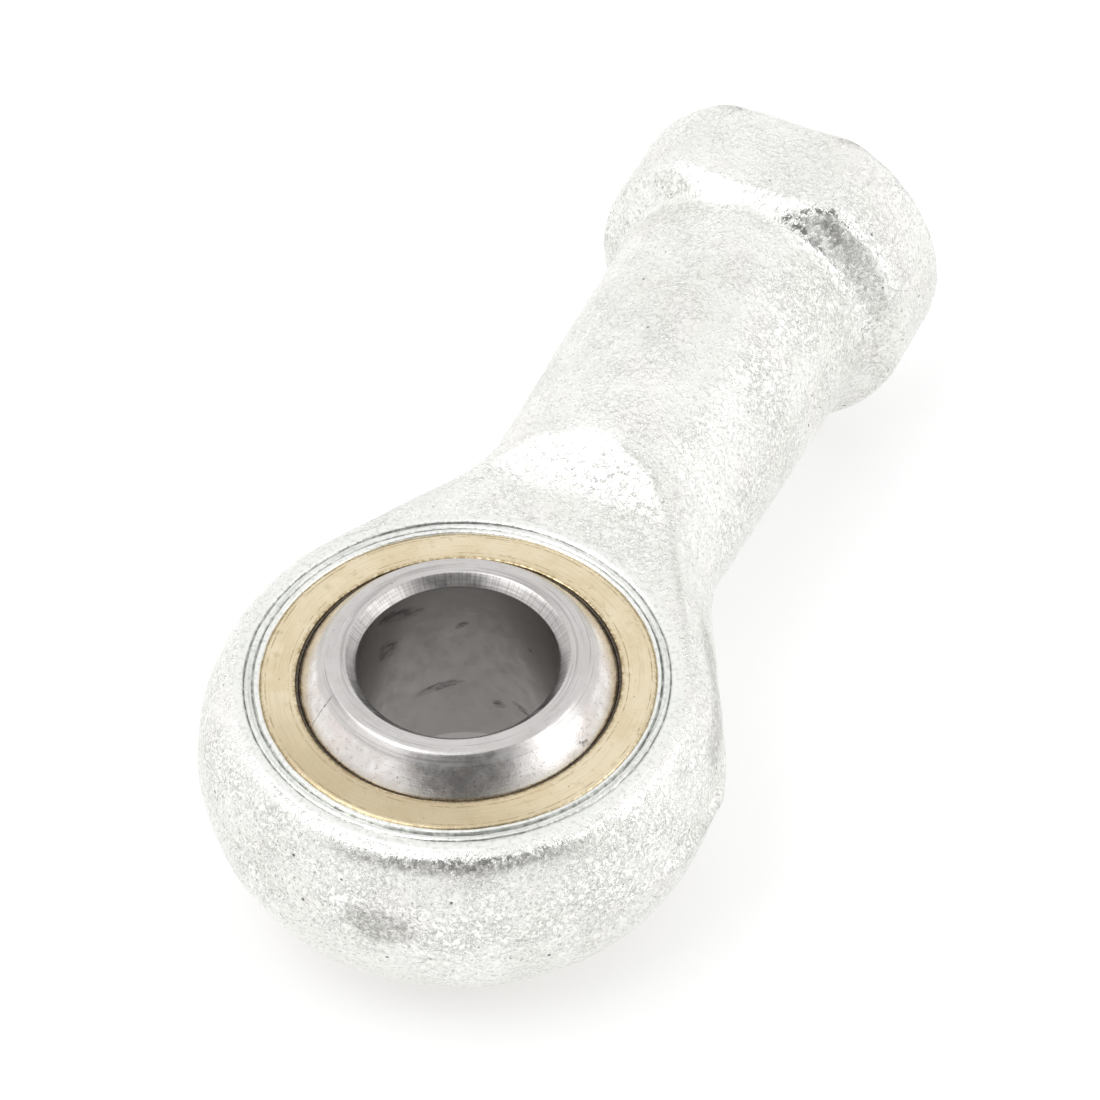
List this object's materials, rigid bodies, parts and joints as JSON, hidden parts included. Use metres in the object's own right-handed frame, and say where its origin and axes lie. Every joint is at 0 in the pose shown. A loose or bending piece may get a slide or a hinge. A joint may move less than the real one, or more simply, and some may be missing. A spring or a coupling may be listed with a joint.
{
  "type": "rod end bearing",
  "caption": "Female rod end: a polished ball with a through bore swivels in a lined brass race pressed into a forged, zinc-plated eye on a shank with a threaded, flatted collar.",
  "frame": {"origin": "centre of the ball, on the ball's bore axis, halfway between the eye's two flat faces", "axes": "+Z along the ball's bore axis, +Y along the shank from the ball's centre to the threaded mouth, +X across the eye"},
  "size_m": [0.0314, 0.0657, 0.019],
  "materials": {
    "zinc_plated_forging": "matt bright zinc plating over a fine forged grain",
    "brass": "satin, fine turned rings",
    "ptfe": "woven PTFE fabric, dark where it has been impregnated",
    "bearing_steel": "ground and polished, with turned faces"
  },
  "bodies": {
    "rod_end": {"rod_end_body": "zinc_plated_forging", "outer_race": "brass", "ptfe_liner": "ptfe"},
    "ball": {"ball": "bearing_steel"}
  },
  "joints": [
    {"name": "ball_swivel", "type": "hinge", "parent": "rod_end", "child": "ball", "pos_m": [0, 0, 0], "axis": [0, 1, 0], "range_deg": [-13, 13]}
  ]
}
